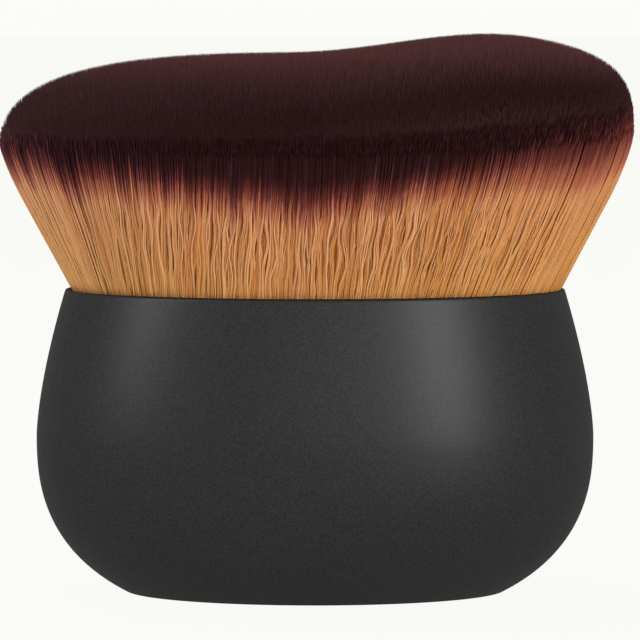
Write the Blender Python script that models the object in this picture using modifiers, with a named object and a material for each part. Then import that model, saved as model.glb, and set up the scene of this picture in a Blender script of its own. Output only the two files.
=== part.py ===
# Body makeup brush: an oval palm handle that stands on its flat base, with a dense bundle of
# dyed filaments that fans out of its mouth and ends in a waved dome.
# Metres, +Z up. The origin is in the middle of the underside, the width runs along X and the
# front faces -Y.

import math

import bmesh
import bpy
from mathutils import Matrix

# Fits and cuts
fit_gap = 0.0003  # between pieces that touch
cut_overrun = 0.002  # how far a cutter runs past the face that it opens

# Handle body
handle_height = 0.0382
belly_half_width = 0.0352
belly_height = 0.0197
rim_draw_in = 0.0037  # from the belly in to the rim
base_half_width = 0.0239
handle_depth_share = 0.69  # depth of every section over its width
rim_round = 0.0005
rim_wall = 0.0013
web_thickness = 0.0022  # floor between the hair pocket and the weight pocket
upper_power = 1.5  # how late the side draws in towards the rim
lower_power = 2.5  # how square the underside's turn is

# Base cap and weight
base_ring_width = 0.003  # bearing ring left round the cap
cap_thickness = 0.0016
cap_edge_bevel = 0.0003
collar_height = 0.002
collar_wall = 0.001
weight_radius = 0.0095
weight_height = 0.012
weight_edge_bevel = 0.0006

# Hair ring and glue plug
ring_wall = 0.001
ring_recess = 0.0037  # from the rim down to the ring's top edge
ring_foot = 0.0015  # height of the turned-in edge at the ring's back
ring_foot_reach = 0.002  # how far that edge turns in

# Bristle bundle
overall_width = 0.080
overall_depth = 0.055
shoulder_height = 0.0551  # where the outermost filaments end
left_ridge_height = 0.0679
right_ridge_height = 0.0711
wave_middle = 0.0124  # where the ridge climbs, to the right of the middle
wave_half_run = 0.0161
left_dome_power = 2.85  # the left shoulder is broad
right_dome_power = 3.65  # the right one is tight
mouth_gap = 0.00035  # between the fan and the lip
root_block_height = 0.0065
root_embed = 0.0002  # how far a strand starts inside its root block
dye_length = 0.006
tip_taper = 0.0018

# Counts and shares of the strands
bundle_slices = 6
slice_columns = 5
middle_rows = 15
bow_share = 0.15  # how far the columns bow with the oval's ends
swirl = math.radians(20)  # turn of the bundle's middle, so that no column leaves a straight gap
strand_width_share = 0.74  # of the column pitch
strand_depth_share = 0.80  # of the row pitch

# Facets
oval_sides = 64
round_sides = 40
side_steps = 11
lip_steps = 3
slice_side_steps = 10
slice_end_steps = 4

# Rounds of the searches for a strand's end and for the fan's reach
tip_rounds = 24
reach_rounds = 4

# Worked out from the sizes above
rim_half_width = belly_half_width - rim_draw_in
rim_half_depth = rim_half_width * handle_depth_share
base_half_depth = base_half_width * handle_depth_share
pocket_half = (rim_half_width - rim_wall, rim_half_depth - rim_wall)
ring_outer_half = (pocket_half[0] - fit_gap, pocket_half[1] - fit_gap)
ring_inner_half = (ring_outer_half[0] - ring_wall, ring_outer_half[1] - ring_wall)
root_half = (ring_inner_half[0] - fit_gap, ring_inner_half[1] - fit_gap)
ring_foot_half = (ring_inner_half[0] - ring_foot_reach, ring_inner_half[1] - ring_foot_reach)
rebate_half = (base_half_width - base_ring_width, base_half_depth - base_ring_width)
cap_half = (rebate_half[0] - fit_gap, rebate_half[1] - fit_gap)
collar_inner_radius = weight_radius + fit_gap
collar_outer_radius = collar_inner_radius + collar_wall
weight_pocket_radius = collar_outer_radius + fit_gap
rebate_top = cap_thickness + fit_gap
weight_bottom = rebate_top
weight_top = weight_bottom + weight_height
weight_pocket_top = weight_top + fit_gap
pocket_floor = weight_pocket_top + web_thickness
ring_bottom = pocket_floor + fit_gap
ring_top = handle_height - ring_recess
ring_foot_top = ring_bottom + ring_foot
root_top = ring_top
root_bottom = root_top - root_block_height
fan_bottom = root_top - root_embed
plug_bottom = ring_foot_top + fit_gap
plug_top = root_bottom - fit_gap

columns = bundle_slices * slice_columns
column_half_pitch = 1 / columns
outer_column_share = 1 - column_half_pitch
outer_row_share = 1 - 1 / middle_rows


def remove_scene_objects():
    for item in list(bpy.data.objects):
        bpy.data.objects.remove(item)


def new_collection(name):
    collection = bpy.data.collections.new(name)
    bpy.context.scene.collection.children.link(collection)
    return collection


def new_material(name, colour, roughness, metallic=0.0):
    material = bpy.data.materials.new(name)
    material.use_nodes = True
    shader = material.node_tree.nodes["Principled BSDF"]
    shader.inputs["Base Color"].default_value = (*colour, 1.0)
    shader.inputs["Roughness"].default_value = roughness
    shader.inputs["Metallic"].default_value = metallic
    material.diffuse_color = (*colour, 1.0)
    return material


def new_object(name, mesh, collection):
    item = bpy.data.objects.new(name, mesh)
    collection.objects.link(item)
    return item


def as_cutter(item):
    item.hide_render = True
    item.display_type = "WIRE"
    return item


def boolean(item, other, operation):
    modifier = item.modifiers.new(operation.title(), "BOOLEAN")
    modifier.operation = operation
    modifier.solver = "EXACT"
    modifier.object = other


def bevel(item, width, segments=2):
    modifier = item.modifiers.new("Bevel", "BEVEL")
    modifier.width = width
    modifier.segments = segments
    modifier.limit_method = "ANGLE"
    modifier.angle_limit = math.radians(40)


def smooth(item, degrees=35):
    item.data.shade_smooth()
    item.data.set_sharp_from_angle(angle=math.radians(degrees))


def oval_block(name, collection, bottom_half, bottom, top_half, top, sides=oval_sides):
    """An upright oval between two heights, from a unit cylinder whose ends take their own sizes."""
    mesh = bpy.data.meshes.new(name)
    shape = bmesh.new()
    bmesh.ops.create_cone(shape, cap_ends=True, segments=sides, radius1=1, radius2=1, depth=1)
    for vertex in shape.verts:
        upper = vertex.co.z > 0
        half = top_half if upper else bottom_half
        vertex.co.x *= half[0]
        vertex.co.y *= half[1]
        vertex.co.z = top if upper else bottom
    shape.to_mesh(mesh)
    shape.free()
    return new_object(name, mesh, collection)


def round_block(name, collection, radius, bottom, top):
    half = (radius, radius)
    return oval_block(name, collection, half, bottom, half, top, round_sides)


def side_half_width(height):
    """The handle's half width: a power curve above the belly and a superellipse under it."""
    if height >= belly_height:
        rise = (height - belly_height) / (handle_height - belly_height)
        return belly_half_width - (belly_half_width - rim_half_width) * rise**upper_power
    closed = 1 - (base_half_width / belly_half_width) ** lower_power
    fall = (belly_height - height) / belly_height
    return belly_half_width * (1 - closed * fall**lower_power) ** (1 / lower_power)


def handle_profile():
    """Half of the handle's section, from the middle of its top round the lip and down the side."""
    points = [(0, handle_height)]
    for step in range(lip_steps + 1):
        turn = math.radians(90) * step / lip_steps
        inset = rim_round * (1 - math.sin(turn))
        points.append((rim_half_width - inset, handle_height - rim_round * (1 - math.cos(turn))))
    side_top = handle_height - rim_round
    for step in range(1, side_steps):
        height = side_top + (belly_height - side_top) * step / side_steps
        points.append((side_half_width(height), height))
    for step in range(side_steps + 1):
        turn = math.radians(90) * step / side_steps
        height = belly_height * (1 - math.sin(turn))
        points.append((side_half_width(height), height))
    points.append((0, 0))
    return points


def turned_oval(name, collection, profile, depth_share):
    """A profile turned about Z with a Screw modifier, then drawn in along Y."""
    mesh = bpy.data.meshes.new(name)
    vertices = [(radius, 0, height) for radius, height in profile]
    mesh.from_pydata(vertices, [(k, k + 1) for k in range(len(profile) - 1)], [])
    turned = new_object(name, mesh, collection)
    screw = turned.modifiers.new("Screw", "SCREW")
    screw.steps = oval_sides
    screw.render_steps = oval_sides
    screw.use_merge_vertices = True
    screw.merge_threshold = 0.00001
    view = bpy.context.evaluated_depsgraph_get()
    turned.data = bpy.data.meshes.new_from_object(turned.evaluated_get(view), depsgraph=view)
    turned.modifiers.clear()
    turned.data.transform(Matrix.Diagonal((1, depth_share, 1, 1)))
    turned.data.name = name
    return turned


def make_handle_body(collection, cutters):
    handle = turned_oval("handle_body", collection, handle_profile(), handle_depth_share)
    above = handle_height + cut_overrun
    pocket = oval_block(
        "hair_pocket_cutter", cutters, pocket_half, pocket_floor, pocket_half, above
    )
    flare = oval_block(
        "mouth_flare_cutter",
        cutters,
        fan_half(ring_top, mouth_gap),
        ring_top,
        fan_half(above, mouth_gap),
        above,
    )
    rebate = oval_block(
        "cap_rebate_cutter", cutters, rebate_half, -cut_overrun, rebate_half, rebate_top
    )
    weight_pocket = round_block(
        "weight_pocket_cutter", cutters, weight_pocket_radius, 0, weight_pocket_top
    )
    for cutter in (pocket, flare, rebate, weight_pocket):
        boolean(handle, as_cutter(cutter), "DIFFERENCE")
    smooth(handle)
    handle.data.materials.append(new_material("soft_touch_grey", (0.030, 0.031, 0.033), 0.62))


def make_base_cap(collection, cutters):
    cap = oval_block("base_cap", collection, cap_half, 0, cap_half, cap_thickness)
    bevel(cap, cap_edge_bevel)
    collar_top = cap_thickness + fit_gap + collar_height
    sunk = cap_thickness / 2
    collar = round_block("cap_collar", cutters, collar_outer_radius, sunk, collar_top)
    bore = round_block(
        "cap_collar_bore",
        cutters,
        collar_inner_radius,
        cap_thickness,
        collar_top + cut_overrun,
    )
    boolean(cap, as_cutter(collar), "UNION")
    boolean(cap, as_cutter(bore), "DIFFERENCE")
    smooth(cap)
    cap.data.materials.append(new_material("cap_grey", (0.026, 0.027, 0.029), 0.70))


def make_base_weight(collection):
    weight = round_block("base_weight", collection, weight_radius, weight_bottom, weight_top)
    bevel(weight, weight_edge_bevel)
    smooth(weight)
    weight.data.materials.append(new_material("zinc_steel", (0.45, 0.46, 0.47), 0.35, 1.0))


def make_hair_ring(collection, cutters):
    ring = oval_block(
        "hair_ring", collection, ring_outer_half, ring_bottom, ring_outer_half, ring_top
    )
    bore = oval_block(
        "ring_bore_cutter",
        cutters,
        ring_inner_half,
        ring_foot_top,
        ring_inner_half,
        ring_top + cut_overrun,
    )
    foot = oval_block(
        "ring_foot_cutter",
        cutters,
        ring_foot_half,
        ring_bottom - cut_overrun,
        ring_foot_half,
        ring_top,
    )
    boolean(ring, as_cutter(bore), "DIFFERENCE")
    boolean(ring, as_cutter(foot), "DIFFERENCE")
    smooth(ring)
    ring.data.materials.append(new_material("ring_aluminium", (0.60, 0.60, 0.61), 0.40, 1.0))


def make_glue_plug(collection):
    plug = oval_block("glue_plug", collection, root_half, plug_bottom, root_half, plug_top)
    smooth(plug)
    plug.data.materials.append(new_material("amber_epoxy", (0.42, 0.25, 0.09), 0.25))


def on_unit_oval(across, along):
    """A place in the square from -1 to 1 both ways, laid on the unit disc in bowed, swirled columns."""
    x = across * math.sqrt(1 - bow_share * along**2)
    y = along * math.sqrt(1 - (1 - bow_share) * across**2)
    turn = swirl * (1 - min(1, math.hypot(x, y)))
    return x * math.cos(turn) - y * math.sin(turn), x * math.sin(turn) + y * math.cos(turn)


def wave(x):
    """0 left of the ridge's climb, 1 right of it and half a sine between."""
    climb = max(-1, min(1, (x - wave_middle) / wave_half_run))
    return (1 + math.sin(climb * math.pi / 2)) / 2


def dome_height(x, y):
    """The waved dome's height over a place on the unit disc."""
    climb = wave(x * overall_width / 2)
    ridge = left_ridge_height + (right_ridge_height - left_ridge_height) * climb
    power = left_dome_power + (right_dome_power - left_dome_power) * climb
    radius = min(1, math.hypot(x, y))
    return shoulder_height + (ridge - shoulder_height) * (1 - radius**power) ** (1 / power)


def opened_half(height, reach):
    """Half sizes of the fan at a height. It opens evenly and has its full reach at the shoulder."""
    share = (height - fan_bottom) / (shoulder_height - fan_bottom)
    return tuple(root + (full - root) * share for root, full in zip(root_half, reach))


def tip_height(across, along, reach):
    """Where a straight filament, which leans more the further out it starts, meets the dome."""
    x, y = on_unit_oval(across, along)
    low, high = shoulder_height, max(left_ridge_height, right_ridge_height)
    for step in range(tip_rounds):
        middle = (low + high) / 2
        wide, deep = opened_half(middle, reach)
        if dome_height(x * wide / reach[0], y * deep / reach[1]) > middle:
            low = middle
        else:
            high = middle
    return low


def fan_reach():
    """The dome's half sizes, so that the tips of the outermost strands come to the overall size."""
    reach = (overall_width / 2, overall_depth / 2)
    for step in range(reach_rounds):
        end = tip_height(outer_column_share, 0, reach)
        side = tip_height(0, outer_row_share, reach)
        reach_width = outer_column_share * opened_half(end, reach)[0]
        reach_depth = outer_row_share * opened_half(side, reach)[1]
        reach = (
            reach[0] * overall_width / 2 / reach_width,
            reach[1] * overall_depth / 2 / reach_depth,
        )
    return reach


def fan_half(height, gap):
    """Half sizes of the fan's envelope at a height, with a gap round it."""
    return tuple(half + gap for half in opened_half(height, fan_reach()))


def strand_places(slice_number):
    """Each strand's column, row and half pitches in one slice, in shares of the bundle."""
    for column in range(slice_number * slice_columns, (slice_number + 1) * slice_columns):
        across = -1 + (2 * column + 1) * column_half_pitch
        rows = round(middle_rows * math.sqrt(1 - (1 - bow_share) * across**2))
        for row in range(rows):
            yield column, row, across, -1 + (2 * row + 1) / rows, 1 / rows


def strand_rings(reach, column, row, across, along, row_half_pitch):
    """The three corners of a strand at its foot, where the dye starts and where its taper starts,
    and its tip. Each corner keeps its own distance under the dome, so the ends lie along it."""
    flip = 1 if (column + row) % 2 else -1
    wide = column_half_pitch * strand_width_share
    deep = row_half_pitch * strand_depth_share
    corners = [(-wide, -flip * deep), (wide, -flip * deep), (0, flip * deep)]
    if flip < 0:
        corners.reverse()
    shares = [(across + aside, along + ahead) for aside, ahead in corners]
    ends = [tip_height(*share, reach) for share in shares]

    def place(share, height):
        x, y = on_unit_oval(*share)
        fan_wide, fan_deep = opened_half(height, reach)
        return x * fan_wide, y * fan_deep, height

    foot = [place(share, fan_bottom) for share in shares]
    dye = [place(share, end - dye_length) for share, end in zip(shares, ends)]
    taper = [place(share, end - tip_taper) for share, end in zip(shares, ends)]
    return (foot, dye, taper), place((across, along), tip_height(across, along, reach))


def make_strands(name, cutters, slice_number):
    """Every strand of a slice as a closed three-sided prism that ends in a point."""
    vertices, faces, dyed = [], [], []
    reach = fan_reach()
    for strand in strand_places(slice_number):
        rings, tip = strand_rings(reach, *strand)
        first = len(vertices)
        for ring in rings:
            vertices += ring
        vertices.append(tip)
        faces.append((first + 2, first + 1, first))
        dyed.append(0)
        for level in range(len(rings)):
            low = first + 3 * level
            for side in range(3):
                a, b = low + side, low + (side + 1) % 3
                last = level == len(rings) - 1
                faces.append((a, b, low + 3) if last else (a, b, b + 3, a + 3))
                dyed.append(int(level >= 1))
    mesh = bpy.data.meshes.new(name)
    mesh.from_pydata(vertices, [], faces)
    mesh.polygons.foreach_set("material_index", dyed)
    return as_cutter(new_object(name, mesh, cutters))


def slice_outline(slice_number):
    """The outline of a slice of the oval root block, anticlockwise, short of its neighbours."""
    half_gap = fit_gap / 2 / root_half[0]
    first = -1 + 2 * slice_number / bundle_slices
    last = first + 2 / bundle_slices
    low = first + (half_gap if slice_number else 0)
    high = last - (half_gap if slice_number < bundle_slices - 1 else 0)
    middle, half = (low + high) / 2, (high - low) / 2
    ends = [-1 + 2 * step / slice_end_steps for step in range(slice_end_steps)]
    sides = [-1 + 2 * step / slice_side_steps for step in range(slice_side_steps)]
    edge = [(middle + half * share, -1) for share in ends]
    edge += [(high, share) for share in sides]
    edge += [(middle - half * share, 1) for share in ends]
    edge += [(low, -share) for share in sides]
    places = [on_unit_oval(across, along) for across, along in edge]
    return [(x * root_half[0], y * root_half[1], root_bottom) for x, y in places]


def make_bristle_bundle(collection, cutters, slice_number, materials):
    """A slice of the resin-bound root block with its strands fused to it."""
    name = f"bristle_bundle_{slice_number + 1}"
    mesh = bpy.data.meshes.new(name)
    shape = bmesh.new()
    floor = shape.faces.new([shape.verts.new(point) for point in slice_outline(slice_number)])
    raised = bmesh.ops.extrude_face_region(shape, geom=[floor])
    lifted = [item for item in raised["geom"] if isinstance(item, bmesh.types.BMVert)]
    bmesh.ops.translate(shape, verts=lifted, vec=(0, 0, root_block_height))
    bmesh.ops.recalc_face_normals(shape, faces=shape.faces)
    shape.to_mesh(mesh)
    shape.free()
    bundle = new_object(name, mesh, collection)
    for material in materials:
        bundle.data.materials.append(material)
    strands = make_strands(f"{name}_strands", cutters, slice_number)
    boolean(bundle, strands, "UNION")


def main():
    remove_scene_objects()
    brush = new_collection("body_makeup_brush")
    cutters = new_collection("cutters")
    make_handle_body(brush, cutters)
    make_base_cap(brush, cutters)
    make_base_weight(brush)
    make_hair_ring(brush, cutters)
    make_glue_plug(brush)
    filament = [
        new_material("tan_filament", (0.45, 0.20, 0.065), 0.50),
        new_material("plum_dyed_filament", (0.035, 0.014, 0.013), 0.55),
    ]
    for slice_number in range(bundle_slices):
        make_bristle_bundle(brush, cutters, slice_number, filament)


main()
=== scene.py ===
import bpy
import numpy as np
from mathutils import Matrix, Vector


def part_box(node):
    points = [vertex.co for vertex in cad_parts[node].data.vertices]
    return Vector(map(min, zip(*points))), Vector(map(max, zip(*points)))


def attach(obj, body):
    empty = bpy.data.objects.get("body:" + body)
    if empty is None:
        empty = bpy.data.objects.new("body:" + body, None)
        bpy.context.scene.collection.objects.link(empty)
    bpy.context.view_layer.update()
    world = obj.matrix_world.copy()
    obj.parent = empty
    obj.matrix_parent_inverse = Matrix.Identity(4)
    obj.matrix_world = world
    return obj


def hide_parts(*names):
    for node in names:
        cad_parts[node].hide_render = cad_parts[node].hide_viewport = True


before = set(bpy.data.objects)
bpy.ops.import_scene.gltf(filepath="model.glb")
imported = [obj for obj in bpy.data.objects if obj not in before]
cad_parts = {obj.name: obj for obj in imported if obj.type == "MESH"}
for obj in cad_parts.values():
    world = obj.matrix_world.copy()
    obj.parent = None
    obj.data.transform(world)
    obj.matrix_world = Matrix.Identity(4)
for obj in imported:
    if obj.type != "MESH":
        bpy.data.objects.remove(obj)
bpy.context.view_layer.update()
print("frame loaded:", ", ".join(sorted(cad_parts)))

mm = 0.001
fullTurn = 2 * np.pi
bristleNodes = [name for name in sorted(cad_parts) if name.startswith("bristle_bundle")]
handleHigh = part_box("handle_body")[1]
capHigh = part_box("base_cap")[1]
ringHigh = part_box("hair_ring")[1]
weightLow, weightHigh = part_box("base_weight")


def linear(red, green, blue):
    # A screen colour from 0 to 255 as the linear value that a shader takes
    share = np.array([red, green, blue]) / 255
    low, high = share / 12.92, ((share + 0.055) / 1.055) ** 2.4
    return tuple(float(value) for value in np.where(share <= 0.04045, low, high))


def newMaterial(name, roughness, specular, metallic=0.0):
    material = bpy.data.materials.new(name)
    material.use_nodes = True
    shader = material.node_tree.nodes["Principled BSDF"]
    shader.inputs["Roughness"].default_value = roughness
    shader.inputs["Specular IOR Level"].default_value = specular
    shader.inputs["Metallic"].default_value = metallic
    return material, material.node_tree, shader


def feed(tree, made, inputs):
    # Each input, by name or number, takes a socket's link or a plain value
    for key, value in inputs.items():
        if isinstance(value, bpy.types.NodeSocket):
            tree.links.new(value, made.inputs[key])
        else:
            made.inputs[key].default_value = value


def addNode(tree, kind, inputs=None, **settings):
    made = tree.nodes.new(kind)
    for key, value in settings.items():
        setattr(made, key, value)
    feed(tree, made, inputs or {})
    return made


def ramp(tree, factor, stops):
    # A colour ramp through (place, colour) stops, given in rising order
    made = addNode(tree, "ShaderNodeValToRGB", {"Fac": factor})
    elements = made.color_ramp.elements
    elements[0].position = stops[0][0]
    elements[1].position = stops[-1][0]
    for place, _ in stops[1:-1]:
        elements.new(place)
    for element, (_, colour) in zip(elements, stops):
        element.color = (*colour, 1)
    return made.outputs["Color"]


def mixColours(tree, mode, factor, first, second):
    # Inputs 6 and 7 and output 2 are the Mix node's colours
    made = addNode(tree, "ShaderNodeMix", data_type="RGBA", blend_type=mode)
    feed(tree, made, {"Factor": factor, 6: first, 7: second})
    return made.outputs[2]


def maths(tree, operation, *values):
    # One Math node over sockets and plain numbers
    made = addNode(tree, "ShaderNodeMath", dict(enumerate(values)), operation=operation)
    return made.outputs[0]


def addPiece(name, points, loops, counts, mapPlaces=None):
    # One smooth mesh from its points, its faces' corners in a row and each face's corner count
    mesh = bpy.data.meshes.new(name)
    mesh.vertices.add(len(points))
    mesh.vertices.foreach_set("co", np.asarray(points, np.float32).ravel())
    mesh.loops.add(len(loops))
    mesh.loops.foreach_set("vertex_index", np.asarray(loops, np.int32))
    mesh.polygons.add(len(counts))
    starts = np.cumsum(counts) - counts
    mesh.polygons.foreach_set("loop_start", np.asarray(starts, np.int32))
    if mapPlaces is not None:
        layer = mesh.uv_layers.new(name="OFBake")
        layer.data.foreach_set("uv", np.asarray(mapPlaces, np.float32).ravel())
    mesh.update(calc_edges=True)
    mesh.shade_smooth()
    piece = bpy.data.objects.new(name, mesh)
    bpy.context.scene.collection.objects.link(piece)
    return piece


def closedRings(name, rings, firstPole, lastPole):
    # Rows of points round an axis, each joined to the next and both ends closed on a point
    rows, sides = rings.shape[:2]
    body = rings.reshape(-1, 3)
    index = np.arange(len(body)).reshape(rows, sides)
    after = np.roll(index, -1, 1)
    quads = np.stack([index[:-1], after[:-1], after[1:], index[1:]], -1)
    first = np.stack([after[0], index[0], np.full(sides, len(body))], -1)
    last = np.stack([index[-1], after[-1], np.full(sides, len(body) + 1)], -1)
    loops = np.concatenate([quads.ravel(), first.ravel(), last.ravel()])
    counts = np.concatenate([np.full(quads.size // 4, 4), np.full(2 * sides, 3)])
    return addPiece(name, np.vstack([body, firstPole, lastPole]), loops, counts)


def ovalLoft(name, profile, sides):
    # Every profile point (halfX, halfY, height) is swept round the oval (halfX cos t, halfY sin t)
    profile = np.asarray(profile, float)
    turn = np.arange(sides) * fullTurn / sides
    middle = profile[1:-1, :, None]
    height = np.broadcast_to(middle[:, 2], (len(middle), sides))
    rings = np.stack([middle[:, 0] * np.cos(turn), middle[:, 1] * np.sin(turn), height], -1)
    poles = [(0, 0, profile[end, 2]) for end in (0, -1)]
    return closedRings(name, rings, *poles)


def rounded(before, at, after, radius, steps=4):
    # An arc of the radius that replaces the corner between two straight runs
    before, at, after = (np.asarray(point, float) for point in (before, at, after))
    inward = (before - at) / np.linalg.norm(before - at)
    onward = (after - at) / np.linalg.norm(after - at)
    middle = (inward + onward) / np.linalg.norm(inward + onward)
    half = np.arccos(inward @ middle)
    centre = at + middle * radius / np.sin(half)
    start = at + inward * radius / np.tan(half) - centre
    end = at + onward * radius / np.tan(half) - centre
    spokes = start + (end - start) * np.linspace(0, 1, steps + 1)[:, None]
    return centre + spokes / np.linalg.norm(spokes, axis=1)[:, None] * radius


# Handle: an oval pot with a soft-touch coat

handleShape = {
    "rimHalfWidth": 31.5 * mm,
    "baseHalfWidth": 23.9 * mm,
    "bellyHeight": 19.7 * mm,
    "upperPower": 1.5,  # how late the side draws in towards the rim
    "lowerPower": 2.5,  # how square the underside's turn is
    "rimRound": 0.5 * mm,
    "mouthRound": 0.12 * mm,
    "baseRound": 0.35 * mm,
    "mouthHalf": (31.15 * mm, 20.8 * mm),
    "lipDepth": 1.45 * mm,  # where the mouth's flare ends in the straight pocket
    "pocketFloor": 16.4 * mm,
    "fitGap": 0.3 * mm,
    "collarWall": 1.0 * mm,
    "baseSlopeShare": 0.02,  # of the belly's height, over which the base corner takes the side's slope
    "rimSlopeRun": 2 * mm,  # likewise under the rim
    "rimSteps": 8,
    "sideSteps": 40,
    "sides": 224,
    "sharpAngle": 40,  # in degrees, past which an edge isn't shaded smooth
}


def sideHalfWidth(height):
    # Above the belly the half width falls with a power of the rise, under it with a superellipse
    belly, middle = handleHigh.x, handleShape["bellyHeight"]
    drawIn = belly - handleShape["rimHalfWidth"]
    rise = np.clip((height - middle) / (handleHigh.z - middle), 0, 1)
    fall = np.clip((middle - height) / middle, 0, 1) ** handleShape["lowerPower"]
    closed = 1 - (handleShape["baseHalfWidth"] / belly) ** handleShape["lowerPower"]
    upper = belly - drawIn * rise ** handleShape["upperPower"]
    lower = belly * (1 - closed * fall) ** (1 / handleShape["lowerPower"])
    return np.where(height > middle, upper, lower)


def handleProfile():
    # Half the section as (halfX, halfY, height): weight pocket, cap rebate, side, rim, hair pocket
    depthShare = handleHigh.y / handleHigh.x
    top, gap = handleHigh.z, handleShape["fitGap"]

    def side(height):
        width = float(sideHalfWidth(height))
        return np.array([width, width * depthShare, height])

    def flat(halfX, halfY, height):
        return np.array([halfX, halfY, height])

    weightRadius = weightHigh.x + 2 * gap + handleShape["collarWall"]
    weightTop, rebateTop = weightHigh.z + gap, weightLow.z
    rebate = (capHigh.x + gap, capHigh.y + gap)
    pocket = (ringHigh.x + gap, ringHigh.y + gap)
    mouth = handleShape["mouthHalf"]
    lip = top - handleShape["lipDepth"]
    turn = np.linspace(0, np.pi / 2, handleShape["sideSteps"])
    belly = handleShape["bellyHeight"]
    baseSide = side(belly * handleShape["baseSlopeShare"])
    bottomCorner = rounded(flat(*rebate, 0), side(0), baseSide, handleShape["baseRound"])
    rimSide = side(top - handleShape["rimSlopeRun"])
    rimRound, rimSteps = handleShape["rimRound"], handleShape["rimSteps"]
    rimCorner = rounded(rimSide, side(top), flat(*mouth, top), rimRound, rimSteps)
    lowerHeights = belly * (1 - np.cos(turn))
    upperHeights = belly + (rimCorner[0, 2] - belly) * np.sin(turn)[1:-1]
    lower = [side(height) for height in lowerHeights if height > bottomCorner[-1, 2]]
    upper = [side(height) for height in upperHeights]
    mouthRound = handleShape["mouthRound"]
    mouthCorner = rounded(rimCorner[-1], flat(*mouth, top), flat(*pocket, lip), mouthRound)
    return np.vstack(
        [
            flat(0, 0, weightTop),
            flat(weightRadius, weightRadius, weightTop),
            flat(weightRadius, weightRadius, rebateTop),
            flat(*rebate, rebateTop),
            flat(*rebate, 0),
            bottomCorner,
            lower,
            upper,
            rimCorner,
            mouthCorner,
            flat(*pocket, lip),
            flat(*pocket, handleShape["pocketFloor"]),
            flat(0, 0, handleShape["pocketFloor"]),
        ]
    )


coatLook = {
    "grey": linear(27, 27, 29),
    "speckleDark": linear(15, 15, 17),
    "speckleLight": linear(38, 38, 41),
    "speckleSpan": (0.32, 0.5, 0.68),  # the noise values of the dark, the middle and the light grey
    "speckleScale": 3800,
    "speckleDetail": 2.0,
    "speckleRoughness": 0.6,
    "roughness": 0.6,
    "specular": 0.0,
    "skin": 0.14,  # the paint's clear skin, which gives the soft highlights
    "skinRoughness": 0.4,
    "skinIndex": 2.2,
    "bump": 0.2,
    "bumpDistance": 0.05 * mm,
}


def coatMaterial():
    # Matte soft-touch paint: a fine speckle in the colour and the same grain as bump
    finish = coatLook["roughness"], coatLook["specular"]
    material, tree, shader = newMaterial("softTouchCoat", *finish)
    shader.inputs["Coat Weight"].default_value = coatLook["skin"]
    shader.inputs["Coat Roughness"].default_value = coatLook["skinRoughness"]
    shader.inputs["Coat IOR"].default_value = coatLook["skinIndex"]
    place = addNode(tree, "ShaderNodeTexCoord").outputs["Object"]
    grain = addNode(tree, "ShaderNodeTexNoise", {"Vector": place})
    feed(tree, grain, {"Scale": coatLook["speckleScale"], "Detail": coatLook["speckleDetail"]})
    feed(tree, grain, {"Roughness": coatLook["speckleRoughness"]})
    greys = coatLook["speckleDark"], coatLook["grey"], coatLook["speckleLight"]
    speckle = ramp(tree, grain.outputs["Fac"], list(zip(coatLook["speckleSpan"], greys)))
    feed(tree, shader, {"Base Color": speckle})
    relief = addNode(tree, "ShaderNodeBump", {"Height": grain.outputs["Fac"]})
    feed(tree, relief, {"Strength": coatLook["bump"], "Distance": coatLook["bumpDistance"]})
    feed(tree, shader, {"Normal": relief.outputs["Normal"]})
    return material


handle = ovalLoft("handle", handleProfile(), handleShape["sides"])
handle.data.set_sharp_from_angle(angle=np.radians(handleShape["sharpAngle"]))
handle.data.materials.append(coatMaterial())
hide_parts("handle_body")
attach(handle, "root")
print("handle made:", len(handle.data.polygons), "faces")


# Hair: thousands of filaments that fan out of the mouth up to a waved dome

fanShape = {
    "mouthHeight": 38.2 * mm,
    "leftMouth": 30.6 * mm,
    "rightMouth": 31.0 * mm,
    "depthMouth": 20.5 * mm,
    "leftWidest": 39.6 * mm,
    "rightWidest": 39.7 * mm,
    "depthWidest": 27.5 * mm,
    "widestHeight": 56.0 * mm,
    "bendFrom": 49.8 * mm,  # where the straight filaments start to curve upright
    "bendTo": 61.7 * mm,
    "bendShare": 0.78,  # of their lean, lost by then
    "leftComb": 0.267,  # how far the left half's filaments are swept back upright
    "drift": 0.02,
    "leftShoulder": 54.8 * mm,  # where the outermost filaments end
    "rightShoulder": 57.5 * mm,
    "leftDome": 39.9 * mm,  # the dome's half width on either side
    "rightDome": 40.2 * mm,
    "leftRidge": 68.05 * mm,
    "rightRidge": 71.15 * mm,
    "waveMiddle": 11.7 * mm,
    "waveHalfRun": 15.3 * mm,
    "leftPower": 2.88,
    "rightPower": 3.48,
    "halvings": 18,  # that find where a filament ends
}


def leanRun(height):
    # How far a filament of slope 1 has leaned: first straight, then its slope falls evenly by k, which
    # is bendShare, so that at the share u of the bend's run L it has leaned L (u - k u^2 / 2) more
    low, run = fanShape["bendFrom"], fanShape["bendTo"] - fanShape["bendFrom"]
    share = np.clip((height - low) / run, 0, 1)
    bent = run * (share - fanShape["bendShare"] * share**2 / 2)
    past = np.maximum(height - low - run, 0) * (1 - fanShape["bendShare"])
    return np.minimum(height, low) + bent + past


def climbShare(height):
    # The lean as a share, 0 at the mouth and 1 where the fan's widest place is measured
    mouth, widest = leanRun(fanShape["mouthHeight"]), leanRun(fanShape["widestHeight"])
    return (leanRun(height) - mouth) / (widest - mouth)


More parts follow.
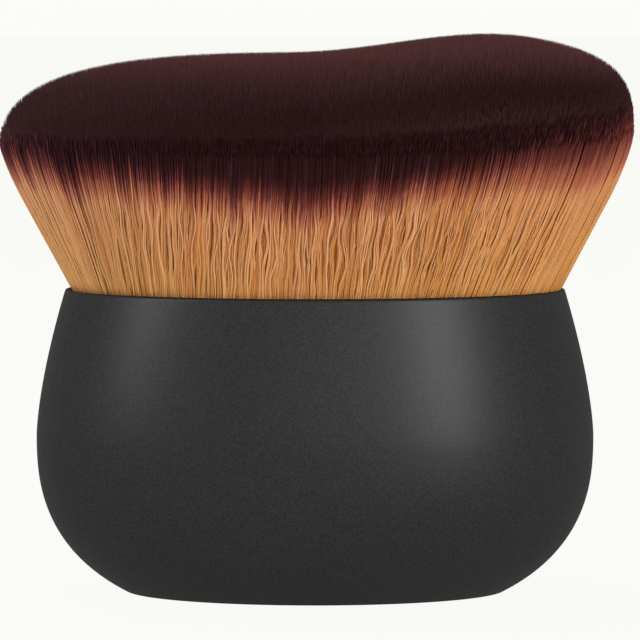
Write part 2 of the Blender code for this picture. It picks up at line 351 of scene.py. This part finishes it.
def bundlePlace(discX, discY, height):
    # A filament leans from its place in the mouth to the one at the widest height, and on past it.
    # With c as its side-to-side place on the oval, that second place is
    # c + (comb |c| + drift) (1 - c^2), where comb is 0 on the right
    radius = np.maximum(np.hypot(discX, discY), 1e-9)
    mouthX, mouthY = discX / radius, discY / radius
    comb = fanShape["leftComb"] * np.maximum(-mouthX, 0) + fanShape["drift"]
    topX = mouthX + comb * (1 - mouthX**2)
    topY = np.sign(mouthY) * np.sqrt(np.maximum(1 - topX**2, 0))
    rightShare = (1 + np.clip(discX, -1, 1)) / 2
    leftMouth, leftWidest = fanShape["leftMouth"], fanShape["leftWidest"]
    mouthWide = leftMouth + (fanShape["rightMouth"] - leftMouth) * rightShare
    topWide = leftWidest + (fanShape["rightWidest"] - leftWidest) * rightShare
    mouthDeep, topDeep = fanShape["depthMouth"], fanShape["depthWidest"]
    climb = climbShare(height)
    placeX = mouthX * mouthWide * (1 - climb) + topX * topWide * climb
    placeY = mouthY * mouthDeep * (1 - climb) + topY * topDeep * climb
    return np.stack(np.broadcast_arrays(radius * placeX, radius * placeY, height), -1)


def domeHeight(placeX, placeY):
    # The dome rises from the shoulder by (1 - r^p)^(1/p), with its ridge and its power p blended from
    # left to right by a half sine. The shoulder climbs evenly from the left end to the right one
    climb = np.clip((placeX - fanShape["waveMiddle"]) / fanShape["waveHalfRun"], -1, 1)
    blend = (1 + np.sin(climb * np.pi / 2)) / 2
    ridge = fanShape["leftRidge"] + (fanShape["rightRidge"] - fanShape["leftRidge"]) * blend
    power = fanShape["leftPower"] + (fanShape["rightPower"] - fanShape["leftPower"]) * blend
    wide = np.where(placeX < 0, fanShape["leftDome"], fanShape["rightDome"])
    radius = np.clip(np.hypot(placeX / wide, placeY / fanShape["depthWidest"]), 0, 1)
    rightShare = (1 + np.clip(placeX / wide, -1, 1)) / 2
    climbed = (fanShape["rightShoulder"] - fanShape["leftShoulder"]) * rightShare
    shoulder = fanShape["leftShoulder"] + climbed
    return shoulder + (ridge - shoulder) * (1 - radius**power) ** (1 / power)


def tipHeight(discX, discY):
    # Where a filament's line meets the dome, by halving the range of heights
    low = np.full(np.shape(discX), fanShape["leftShoulder"])
    high = np.full(np.shape(discX), fanShape["rightRidge"])
    for _ in range(fanShape["halvings"]):
        middle = (low + high) / 2
        place = bundlePlace(discX, discY, middle)
        under = domeHeight(place[..., 0], place[..., 1]) > middle
        low, high = np.where(under, middle, low), np.where(under, high, middle)
    return low


dyeLine = {
    "low": 49.05 * mm,  # in the middle of the front
    "leftRise": 5.0 * mm,
    "rightRise": 6.1 * mm,
    "rightPower": 0.8,
    "endRise": 2.2 * mm,  # the steep part at the right end
    "endPower": 12,
    "dips": ((-0.79, 0.9 * mm, 0.05), (0.88, 1.3 * mm, 0.07)),  # place, depth and spread of each
    "jitter": 0.68 * mm,
    "lockJitter": 0.32 * mm,
    "slowShare": 0.06,  # of the filaments, which turn dark over a longer run
    "slowness": 0.5,
    "tanRun": 40 * mm,  # under the line, over which the share would fall by 1
    "softRun": 5 * mm,
    "rightSoftness": 0.75,
    "darkRun": 8 * mm,  # over the line, over which it would climb by 1
    "leftRun": 6 * mm,  # added to that at the left end
    "rightRun": 20 * mm,
    "shoulderTopLightShare": 0.81,  # how far a filament of the shoulder gets towards the ridge's ends, which are painted lighter as painted top light
    "topLightShareRise": 4,  # the power of the rise from the shoulder to the ridge
}


def dyeHeight(discX, discY):
    # The dye line over the side-to-side place s: low + leftRise |s| on the left, and on the right
    # low + rightRise s^rightPower + endRise s^endPower. Each dip lowers it by
    # depth e^(-((s - place) / spread)^2)
    level = np.full(np.shape(discX), dyeLine["low"] + dyeLine["leftRise"])
    across = bundlePlace(discX, discY, level)[..., 0]
    ends = np.where(across < 0, -1.0, 1.0)
    outermost = bundlePlace(ends, 0 * ends, level)[..., 0]
    side = np.clip(across / outermost, 0, 1)
    left = dyeLine["leftRise"] * side
    right = dyeLine["rightRise"] * side ** dyeLine["rightPower"]
    right = right + dyeLine["endRise"] * side ** dyeLine["endPower"]
    line = dyeLine["low"] + np.where(across < 0, left, right)
    for place, depth, spread in dyeLine["dips"]:
        line -= depth * np.exp(-(((side * ends - place) / spread) ** 2))
    return line


filament = {
    "radius": 0.12 * mm,
    "radiusShares": (0.8, 1.15),  # the thinnest and the thickest filament
    "layerTaper": 1.3 * mm,
    "domeTaper": 1.8 * mm,
    "taperPower": 0.6,
    "start": 35.5 * mm,
    "layers": 3,
    "layerCount": 1400,
    "layerSteps": 18,
    "stepPower": 0.9,  # under 1 for longer steps at the root
    "layerShare": 0.0085,  # of the disc's radius from a layer to the next
    "depthJitter": 0.4,  # of that share
    "turnJitter": 0.35,  # of the step between two filaments
    "domeCount": 60000,
    "domeLength": 4.5 * mm,
    "domeStations": (1, 0.45, 0),  # how much of the length is left to the tip
    "domeJitter": 0.35,
    "domeStray": 0.02,  # how far an end leans out of line, as a share of what is left
    "domeTints": (0.36, 0.56),
    "tipJitter": 0.05 * mm,
    "columnWidth": 0.012,  # of a filament on the map
    "rootRoom": 0.01,  # of the root's face on the map
}

chance = np.random.default_rng(3)  # every random draw comes from here


def evenTurns(count, offset):
    # Angles round the fan at equal steps along its oval, from a table of the arc's length
    fine = np.linspace(0, fullTurn, 4001)
    along = fanShape["rightWidest"] * np.sin(fine), fanShape["depthWidest"] * np.cos(fine)
    step = np.hypot(*along)
    length = np.concatenate([[0], np.cumsum((step[1:] + step[:-1]) / 2)])
    return np.interp((np.arange(count) + offset) / count % 1, length / length[-1], fine)


def strandArrays(centre, outward, radius, tint, dyed):
    # Three-sided tubes round centre lines, each closed by a face at the root and by a point at the tip.
    # On the map a filament's tint is its column and its dye share is the height
    count, stations = centre.shape[:2]
    axis = centre[:, -1] - centre[:, 0]
    axis /= np.linalg.norm(axis, axis=1)[:, None]
    sideways = np.cross(outward, axis)
    sideways /= np.linalg.norm(sideways, axis=1)[:, None]
    outward = np.cross(axis, sideways)
    spin = chance.uniform(0, fullTurn, count)[:, None] + np.arange(3) * fullTurn / 3
    cosine, sine = np.cos(spin)[..., None], np.sin(spin)[..., None]
    spoke = cosine * sideways[:, None] + sine * outward[:, None]
    body = centre[:, :-1, None] + radius[:, :-1, None, None] * spoke[:, None]
    points = np.concatenate([body.reshape(count, -1, 3), centre[:, -1:]], 1)
    level = np.arange(stations - 2)[:, None] * 3
    turn, after = np.arange(3), (np.arange(3) + 1) % 3
    sides = np.stack([level + turn, level + after, level + 3 + after, level + 3 + turn], -1).reshape(-1)
    top = (stations - 2) * 3
    tips = np.stack([top + turn, top + after, np.full(3, top + 3)], -1).reshape(-1)
    oneStrand = np.concatenate([sides, tips, [2, 1, 0]])
    loops = np.arange(count)[:, None] * points.shape[1] + oneStrand
    oneCounts = np.concatenate([np.full((stations - 2) * 3, 4), np.full(4, 3)])
    counts = np.tile(oneCounts, (count, 1))
    column = filament["columnWidth"] / 3
    step = np.arange(3)
    sideU = np.stack([step, step + 1, step + 1, step], -1)
    sideU = np.broadcast_to(sideU, (stations - 2, 3, 4)).reshape(-1)
    tipU = np.stack([step, step + 1, step + 0.5], -1).reshape(-1)
    mapU = tint[:, None] + column * np.concatenate([sideU, tipU, [2, 1, 0]])
    height = np.concatenate([np.repeat(dyed[:, :-1], 3, 1), dyed[:, -1:]], 1)
    mapV = height[:, oneStrand]
    mapV[:, -1] -= filament["rootRoom"]
    return points, loops, counts, np.stack([mapU, mapV], -1)


def dyeShare(discX, height, line, tip):
    # 0.5 on the dye line. At a distance d under it, the share is less by
    # d / tanRun (1 - soft e^(-d / softRun)), with soft growing as x^2 to the right. Over the line it
    # climbs by d / run, with the run growing as x^2 to the right and as |x| to the left, and no faster
    # than evenly to the tip, where it is 1 on the ridge and less on the shoulder. The 1 on the ridge
    # gets the colour ramp's lighter last stop, which is painted top light
    over = height - line[:, None]
    right, left = np.clip(discX, 0, 1)[:, None] ** 2, np.clip(-discX, 0, 1)[:, None]
    soft = dyeLine["rightSoftness"] * right * np.exp(np.minimum(over, 0) / dyeLine["softRun"])
    run = dyeLine["darkRun"] + dyeLine["leftRun"] * left + dyeLine["rightRun"] * right
    rise = (tip - fanShape["leftShoulder"]) / (fanShape["leftRidge"] - fanShape["leftShoulder"])
    # painted top light: only filaments ending on the ridge reach the share 1 and its lighter colour,
    # shoulder filaments stop short of it
    climbed = np.clip(rise, 0, 1)[:, None] ** dyeLine["topLightShareRise"]
    reach = dyeLine["shoulderTopLightShare"] + (1 - dyeLine["shoulderTopLightShare"]) * climbed
    dark = np.minimum(over / run, 0.5 * over / (tip - line)[:, None]) * reach
    return 0.5 + np.where(over < 0, over / dyeLine["tanRun"] * (1 - soft), dark)


lockShape = {
    "count": 240,
    "girth": 180 * mm,  # round the fan at half its height
    "waves": ((9.5 * mm, 0.19 * mm), (5.8 * mm, 0.1 * mm)),  # the length and swing of each
    "lengthShares": (0.75, 1.3),  # of a wave's length, from one lock to the other
    "swingShares": (0.5, 1.5),
    "ownWave": (5 * mm, 0.045 * mm),  # of each filament
    "gather": 0.29,  # how much of a filament's distance from its lock's middle is closed up
    "gatherSwing": 0.26,
    "gatherWave": 11 * mm,
    "bulge": 0.29 * mm,  # four times how far a lock's middle stands out over its edges
    "sway": 0.06 * mm,
    "mouthShare": 0.3,  # of the waves' size, which they have at the mouth
    "growRun": 6 * mm,  # over which they would grow by their full size
    "fadeFrom": 52 * mm,
    "fadeRun": 5 * mm,
    "fadeTo": 0.05,
    "endCalm": 0.8,  # how much straighter the filaments are at both ends of the oval
    "calmPower": 4,
    "tint": 0.38,
    "tintLimits": (0.02, 0.95),
    "tintSpread": 0.12,
    "endEvenness": 0.7,  # how much closer the tints are at both ends of the oval
    "leftPaintedLight": 0.3,  # painted light: how much paler the filaments are at the left end, the next value at the right end, standing in for light on the fan's sides
    "rightPaintedLight": 0.04,
    "tintPower": 3,
    "proudShare": 0.18,  # of the filaments, which lie over the others and are painted paler, a painted highlight on their ridges
    "proudLift": 0.2 * mm,
    "proudHighlightTint": 0.32,
}


def lockWaves(height, turn, share, proud):
    # How far each filament is moved sideways and outward with its lock, which sways as a sum of sines.
    # A filament at the offset s from its lock's middle stands out by bulge (1/4 - s^2)
    count = lockShape["count"]
    place = share * count
    lock, offset = np.floor(place).astype(int) % count, (place % 1 - 0.5)[:, None]

    def perLock(low, high):
        return chance.uniform(low, high, count)[lock, None]

    sideways = np.zeros_like(height)
    for length, size in lockShape["waves"]:
        ownLength = length * perLock(*lockShape["lengthShares"])
        phase = height * fullTurn / ownLength + perLock(0, fullTurn)
        sideways += size * perLock(*lockShape["swingShares"]) * np.sin(phase)
    length, size = lockShape["ownWave"]
    phase = height * fullTurn / length + chance.uniform(0, fullTurn, offset.shape)
    sideways += size * np.sin(phase)
    swing = np.sin(height * fullTurn / lockShape["gatherWave"] + perLock(0, fullTurn))
    closed = lockShape["gather"] + lockShape["gatherSwing"] * swing
    sideways -= closed * offset * lockShape["girth"] / count
    outward = (0.25 - offset**2) * lockShape["bulge"]
    outward = outward + chance.uniform(-1, 1, offset.shape) * lockShape["sway"]
    outward += lockShape["proudLift"] * proud[:, None]
    rise = (height - fanShape["mouthHeight"]) / lockShape["growRun"] + lockShape["mouthShare"]
    fall = (lockShape["fadeFrom"] - height) / lockShape["fadeRun"]
    calm = 1 - lockShape["endCalm"] * np.abs(np.cos(turn[:, None])) ** lockShape["calmPower"]
    strength = np.clip(rise, 0, 1) * np.clip(fall, lockShape["fadeTo"], 1) * calm
    return lock, sideways * strength, outward * strength


def layerStrands(radius):
    # One layer of the fan's outside, from the mouth to the dome
    count, steps = filament["layerCount"], filament["layerSteps"]
    shift = chance.uniform(-filament["turnJitter"], filament["turnJitter"], count)
    turn = evenTurns(count, shift)
    share = (np.arange(count) + shift) / count + chance.uniform()
    depth = chance.uniform(-filament["depthJitter"], filament["depthJitter"], count)
    radius = radius + depth * filament["layerShare"]
    discX, discY = radius * np.cos(turn), radius * np.sin(turn)
    tip = tipHeight(discX, discY) + chance.normal(0, filament["tipJitter"], count)
    start = filament["start"]
    up = np.linspace(0, 1, steps + 1) ** filament["stepPower"]
    height = start + (tip[:, None] - start) * up
    centre = bundlePlace(discX[:, None], discY[:, None], height)
    outward = discX / fanShape["rightWidest"], discY / fanShape["depthWidest"], 0 * discX
    outward = np.stack(outward, -1)
    outward /= np.linalg.norm(outward, axis=1)[:, None]
    across = np.stack([-outward[:, 1], outward[:, 0], 0 * discX], -1)
    proud = chance.uniform(0, 1, count) < lockShape["proudShare"]
    lock, sideways, lifted = lockWaves(height, turn, share, proud)
    centre += sideways[..., None] * across[:, None] + lifted[..., None] * outward[:, None]
    thickness = filament["radius"] * chance.uniform(*filament["radiusShares"], (count, 1))
    narrowed = np.clip((tip[:, None] - height) / filament["layerTaper"], 0, 1)
    width = thickness * narrowed ** filament["taperPower"]
    spread = lockShape["tintSpread"]
    lockTint = chance.uniform(-spread, spread, lockShape["count"])[lock]
    atEnd = np.abs(np.cos(turn)) ** lockShape["tintPower"]
    # painted light: filaments near both ends of the oval are paler, most on the left, for the light on
    # the fan's sides
    paintedSideLight = np.where(discX < 0, lockShape["leftPaintedLight"], lockShape["rightPaintedLight"]) * atEnd
    even = 1 - lockShape["endEvenness"] * atEnd
    ownTint = lockTint + chance.uniform(-spread, spread, count)
    tint = lockShape["tint"] + ownTint * even + paintedSideLight
    # painted highlight: the proud filaments are paler
    tint += lockShape["proudHighlightTint"] * proud * even
    line = dyeHeight(discX, discY) + chance.normal(0, dyeLine["jitter"], count)
    line += chance.normal(0, dyeLine["lockJitter"], lockShape["count"])[lock]
    dyed = dyeShare(discX, height, line, np.maximum(tip, line + mm))
    slow = np.where(chance.uniform(0, 1, (count, 1)) < dyeLine["slowShare"], dyeLine["slowness"], 1)
    dyed = np.where(dyed > 0.5, 0.5 + (dyed - 0.5) * slow, dyed)
    return discX, strandArrays(centre, outward, width, tint.clip(*lockShape["tintLimits"]), dyed)


def domeStrands():
    # The ends of the other filaments, on a sunflower pattern that is even over the dome: the k-th is
    # turned by k times the golden angle, and its distance grows as the root of k
    count = filament["domeCount"]
    fine = np.linspace(0, 1, 400)
    finePlace = bundlePlace(0 * fine, -fine, tipHeight(0 * fine, -fine))
    fineRadius = -finePlace[:, 1] / fanShape["depthWidest"]
    inner = 1 - filament["layers"] * filament["layerShare"]
    order = np.arange(count) + 0.5
    reached = np.sqrt(order / count) * np.interp(inner, fine, fineRadius)
    radius = np.interp(reached, fineRadius, fine)
    turn = order * np.pi * (3 - np.sqrt(5))
    jitter = filament["domeJitter"] / np.sqrt(count)
    discX = radius * np.cos(turn) + chance.normal(0, jitter, count)
    discY = radius * np.sin(turn) + chance.normal(0, jitter, count)
    tip = tipHeight(discX, discY) + chance.normal(0, filament["tipJitter"], count)
    left = np.array(filament["domeStations"]) * filament["domeLength"]
    height = tip[:, None] - left
    centre = bundlePlace(discX[:, None], discY[:, None], height)
    stray = chance.normal(0, filament["domeStray"], (count, 1, 2))
    centre[:, :, :2] -= stray * left[None, :, None]
    outward = np.tile([0.0, -1.0, 0.0], (count, 1))
    thickness = filament["radius"] * chance.uniform(*filament["radiusShares"], (count, 1))
    width = thickness * np.clip(left / filament["domeTaper"], 0, 1) ** filament["taperPower"]
    dyed = dyeShare(discX, height, dyeHeight(discX, discY), tip)
    tint = chance.uniform(*filament["domeTints"], count)
    return discX, strandArrays(centre, outward, width, tint, dyed)


hairLook = {
    "roughness": 0.5,
    "specular": 0.02,
    # The dye share, 0.5 on the dye line, and its colour; the last, lighter stop is painted top light on
    # the ridge's tips rather than dye
    "along": [
        (0.02, linear(202, 138, 66)),
        (0.16, linear(225, 163, 90)),
        (0.44, linear(223, 157, 98)),
        (0.47, linear(190, 115, 80)),
        (0.54, linear(122, 60, 49)),
        (0.67, linear(58, 29, 29)),
        (0.9, linear(46, 22, 22)),
        # painted top light: a lighter plum, reached only at the ridge's tips
        (1.0, linear(70, 37, 35)),
    ],
    # The tint, and what it multiplies that colour by. The tint differs at random from filament to
    # filament; the pale, bluish end also stands in for the filaments' sheen, a painted highlight, and
    # the saturated end for the shade between them, painted shade
    "across": [(0.0, (0.82, 0.66, 0.34)), (1.0, (1.14, 1.3, 1.95))],
}


def filamentMaterial():
    # Colour follows the dye share up the map, and every filament's own tint across it. Part of it is
    # painted light: the ridge's lighter tips, the paler ends of the oval and proud filaments, and the
    # tint's pale end as sheen; the tint's saturated end is painted shade
    finish = hairLook["roughness"], hairLook["specular"]
    material, tree, shader = newMaterial("dyedFilament", *finish)
    place = addNode(tree, "ShaderNodeUVMap", uv_map="OFBake").outputs["UV"]
    split = addNode(tree, "ShaderNodeSeparateXYZ", {"Vector": place})
    along = ramp(tree, split.outputs["Y"], hairLook["along"])
    tint = ramp(tree, split.outputs["X"], hairLook["across"])
    colour = mixColours(tree, "MULTIPLY", 1.0, along, tint)
    feed(tree, shader, {"Base Color": colour})
    return material


def sliceOf(discX):
    # Which of the bundle's slices a filament belongs to, from left to right
    slices = len(bristleNodes)
    return np.clip(((discX + 1) * (slices / 2)).astype(int), 0, slices - 1)


packedShape = {
    "share": 0.975,  # of the disc's radius, at the lowest filaments of the layers
    "depth": 1.1 * mm,  # under the filaments' ends
    "lift": 0.5 * mm,  # over the filaments' roots
    "sides": 128,
    "skirtRows": 16,
    "domeRows": 30,
    "roughness": 0.7,
    "specular": 0.05,
    "lineHalfRun": 2.2 * mm,
    # The place in the run that crosses the dye line, and its colour
    "across": [(0.0, linear(236, 148, 50)), (0.45, linear(150, 82, 58)), (1.0, linear(42, 21, 21))],
    "rampHalfWidth": 42 * mm,
    "spots": (-0.95, -0.8, -0.65, -0.3, -0.1, 0, 0.1, 0.3, 0.6, 0.78, 0.88, 0.96),
}


def packedCore():
    # A closed body just under the filaments, so that nothing shows through them
    share, depth = packedShape["share"], packedShape["depth"]
    turn = np.arange(packedShape["sides"]) * fullTurn / packedShape["sides"]
    circleX, circleY = share * np.cos(turn), share * np.sin(turn)
    edge = tipHeight(circleX, circleY) - depth
    start = filament["start"] + packedShape["lift"]
    up = np.linspace(0, 1, packedShape["skirtRows"])[:, None]
    skirt = bundlePlace(circleX, circleY, start + (edge - start) * up)
    inward = np.cos(np.linspace(0, np.pi / 2, packedShape["domeRows"]))[1:-1, None]
    domeX, domeY = circleX * inward, circleY * inward
    dome = bundlePlace(domeX, domeY, tipHeight(domeX, domeY) - depth)
    rings = np.concatenate([skirt, dome])
    top = dome[-1].mean(0)
    return closedRings("packedFilaments", rings, (0, 0, start), top)


def coreMaterial():
    # The same dye line as the filaments': its height comes from a ramp over the width, through spots
    # that are given as shares of the oval's half width
    finish = packedShape["roughness"], packedShape["specular"]
    material, tree, shader = newMaterial("packedFilament", *finish)
    place = addNode(tree, "ShaderNodeTexCoord").outputs["Object"]
    split = addNode(tree, "ShaderNodeSeparateXYZ", {"Vector": place})
    half, rise = packedShape["rampHalfWidth"], dyeLine["rightRise"] + dyeLine["endRise"]
    across = addNode(tree, "ShaderNodeMapRange", {"Value": split.outputs["X"], 1: -half, 2: half})
    spots = np.array(packedShape["spots"])
    climbs = (dyeHeight(spots, -np.sqrt(1 - spots**2)) - dyeLine["low"]) / rise
    places = 0.5 + 0.5 * spots * fanShape["rightWidest"] / half
    curve = ramp(tree, across.outputs[0], [(x, (y, y, y)) for x, y in zip(places, climbs)])
    line = maths(tree, "MULTIPLY_ADD", curve, rise, dyeLine["low"])
    over = maths(tree, "SUBTRACT", split.outputs["Z"], line)
    run = packedShape["lineHalfRun"]
    share = addNode(tree, "ShaderNodeMapRange", {"Value": over, 1: -run, 2: run})
    colour = ramp(tree, share.outputs[0], packedShape["across"])
    feed(tree, shader, {"Base Color": colour})
    return material


layerRadii = 1 - (np.arange(filament["layers"]) + 0.5) * filament["layerShare"]
layers = [layerStrands(radius) for radius in layerRadii]
layers.append(domeStrands())

filamentFinish = filamentMaterial()
for number, nodeName in enumerate(bristleNodes):
    points, loops, counts, places = [], [], [], []
    first = 0
    for discX, (strandPoints, strandLoops, strandCounts, strandPlaces) in layers:
        chosen = sliceOf(discX) == number
        perStrand = strandPoints.shape[1]
        local = strandLoops[chosen] - np.flatnonzero(chosen)[:, None] * perStrand
        loops.append((local + (first + np.arange(chosen.sum()) * perStrand)[:, None]).ravel())
        points.append(strandPoints[chosen].reshape(-1, 3))
        counts.append(strandCounts[chosen].ravel())
        places.append(strandPlaces[chosen].reshape(-1, 2))
        first += chosen.sum() * perStrand
    name = f"filaments_{number + 1}"
    faces = np.concatenate(loops), np.concatenate(counts)
    hair = addPiece(name, np.vstack(points), *faces, np.vstack(places))
    hair.data.materials.append(filamentFinish)
    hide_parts(nodeName)
    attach(hair, "root")
    print(name, "made:", len(hair.data.polygons), "faces")

core = packedCore()
core.data.materials.append(coreMaterial())
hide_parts(*bristleNodes)
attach(core, "root")
print("packed filaments made:", len(core.data.polygons), "faces")


# Hidden pieces keep their solids and get their finishes

mottleLook = {
    "shares": (0.85, 1.15),  # of the plain colour
    "span": (0.3, 0.7),  # the noise values that get them
    "detail": 3.0,
    "specular": 0.4,
}


def plainFinish(name, colour, roughness, metallic, scale):
    # A little mottling in the colour, from noise on the piece's own coordinates
    material, tree, shader = newMaterial(name, roughness, mottleLook["specular"], metallic)
    place = addNode(tree, "ShaderNodeTexCoord").outputs["Object"]
    grain = {"Vector": place, "Scale": scale, "Detail": mottleLook["detail"]}
    mottle = addNode(tree, "ShaderNodeTexNoise", grain)
    colours = [tuple(min(1, share * value) for value in colour) for share in mottleLook["shares"]]
    colour = ramp(tree, mottle.outputs["Fac"], list(zip(mottleLook["span"], colours)))
    feed(tree, shader, {"Base Color": colour})
    return material


# Each node's material name, colour, roughness, metal share and scale of the mottling
hiddenFinishes = {
    "base_cap": ("capPlastic", linear(40, 41, 43), 0.6, 0.0, 4000),
    "base_weight": ("weightSteel", (0.45, 0.46, 0.47), 0.35, 1.0, 900),
    "hair_ring": ("ringAluminium", (0.6, 0.6, 0.61), 0.4, 1.0, 900),
    "glue_plug": ("amberEpoxy", (0.42, 0.25, 0.09), 0.25, 0.0, 300),
}
for nodeName, finish in hiddenFinishes.items():
    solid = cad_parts[nodeName]
    solid.data.materials.clear()
    solid.data.materials.append(plainFinish(*finish))
print("finishes of the hidden pieces made")


# Studio: floor, backdrop, lights and camera

studio = {
    "paper": linear(251, 252, 247),
    "floorGrey": 0.56,
    "seenShare": 0.97,  # of plain paper in what the camera sees of the floor, the rest being lit
    "ambient": 0.22,
    "floorHalf": 6.0,
    "floorDrop": 0.1 * mm,  # keeps the floor clear of the base
    "aim": (0, 0, 35 * mm),  # of every light
}


def seenByRays(tree):
    # 1 for camera, glossy and transmission rays, 0 for the ones that only light the object
    path = addNode(tree, "ShaderNodeLightPath").outputs
    direct = maths(tree, "MAXIMUM", path["Is Camera Ray"], path["Is Glossy Ray"])
    return maths(tree, "MAXIMUM", direct, path["Is Transmission Ray"])


def paperMaterial():
    # Lights the object as a grey floor, and is seen as pale paper with the object's shadow
    material = bpy.data.materials.new("paleFloor")
    material.use_nodes = True
    tree = material.node_tree
    tree.nodes.clear()
    matte = addNode(tree, "ShaderNodeBsdfDiffuse", {"Color": (*[studio["floorGrey"]] * 3, 1)})
    glow = addNode(tree, "ShaderNodeEmission", {"Color": (*studio["paper"], 1)})
    share = maths(tree, "MULTIPLY", seenByRays(tree), studio["seenShare"])
    mixed = {0: share, 1: matte.outputs[0], 2: glow.outputs[0]}
    mixed = addNode(tree, "ShaderNodeMixShader", mixed)
    addNode(tree, "ShaderNodeOutputMaterial", {"Surface": mixed.outputs[0]})
    return material


def placeAndAim(thing, place, aim):
    # Puts a light or the camera into the scene, facing the aim
    thing.location = place
    thing.rotation_euler = (Vector(aim) - Vector(place)).to_track_quat("-Z", "Y").to_euler()
    bpy.context.scene.collection.objects.link(thing)


def addLight(name, size, place, power):
    data = bpy.data.lights.new(name, "AREA")
    data.shape = "RECTANGLE"
    data.size, data.size_y = size
    data.energy = power
    placeAndAim(bpy.data.objects.new(name, data), place, studio["aim"])


floorMesh = bpy.data.meshes.new("floor")
reach = studio["floorHalf"]
corners = [(-reach, -reach, 0), (reach, -reach, 0), (reach, reach, 0), (-reach, reach, 0)]
floorMesh.from_pydata(corners, [], [(0, 1, 2, 3)])
floor = bpy.data.objects.new("floor", floorMesh)
floor.location.z = -studio["floorDrop"]
bpy.context.scene.collection.objects.link(floor)
floor.data.materials.append(paperMaterial())

world = bpy.data.worlds.new("studioWorld")
bpy.context.scene.world = world
world.use_nodes = True
tree = world.node_tree
tree.nodes.clear()
ambient = {"Color": (1, 1, 1, 1), "Strength": studio["ambient"]}
lighting = addNode(tree, "ShaderNodeBackground", ambient)
seen = addNode(tree, "ShaderNodeBackground", {"Color": (*studio["paper"], 1), "Strength": 1.0})
mixed = {0: seenByRays(tree), 1: lighting.outputs[0], 2: seen.outputs[0]}
mixed = addNode(tree, "ShaderNodeMixShader", mixed)
addNode(tree, "ShaderNodeOutputWorld", {"Surface": mixed.outputs[0]})


def around(azimuth, distance, height):
    # A place at an azimuth to the right of the camera, in degrees, round the object
    turn = np.radians(azimuth)
    return (np.sin(turn) * distance, -np.cos(turn) * distance, height)


# Each light's size, place and power, in metres and watts
lights = {
    "rightStrip": ((0.22, 0.58), around(42, 0.9, 0.3), 5.0),
    "leftStrip": ((0.22, 0.58), around(-64, 0.9, 0.5), 4.0),
    "frontBox": ((0.9, 0.6), around(12, 1.2, 0.35), 1.6),
    "topBox": ((0.8, 0.5), (-0.2, 0.3, 0.85), 8.5),
}
for name, (size, place, power) in lights.items():
    addLight(name, size, place, power)

cameraView = {
    "place": (0.63 * mm, -630 * mm, 77.3 * mm),
    "aim": (0.63 * mm, 0, 34.23 * mm),
    "lens": 281.2,
    "sensorWidth": 36,
    "clipStart": 0.01,
}
cameraData = bpy.data.cameras.new("camera")
cameraData.lens = cameraView["lens"]
cameraData.sensor_width = cameraView["sensorWidth"]
cameraData.clip_start = cameraView["clipStart"]
camera = bpy.data.objects.new("camera", cameraData)
placeAndAim(camera, cameraView["place"], cameraView["aim"])
bpy.context.scene.camera = camera
bpy.context.scene.view_settings.view_transform = "Standard"
print("studio made")
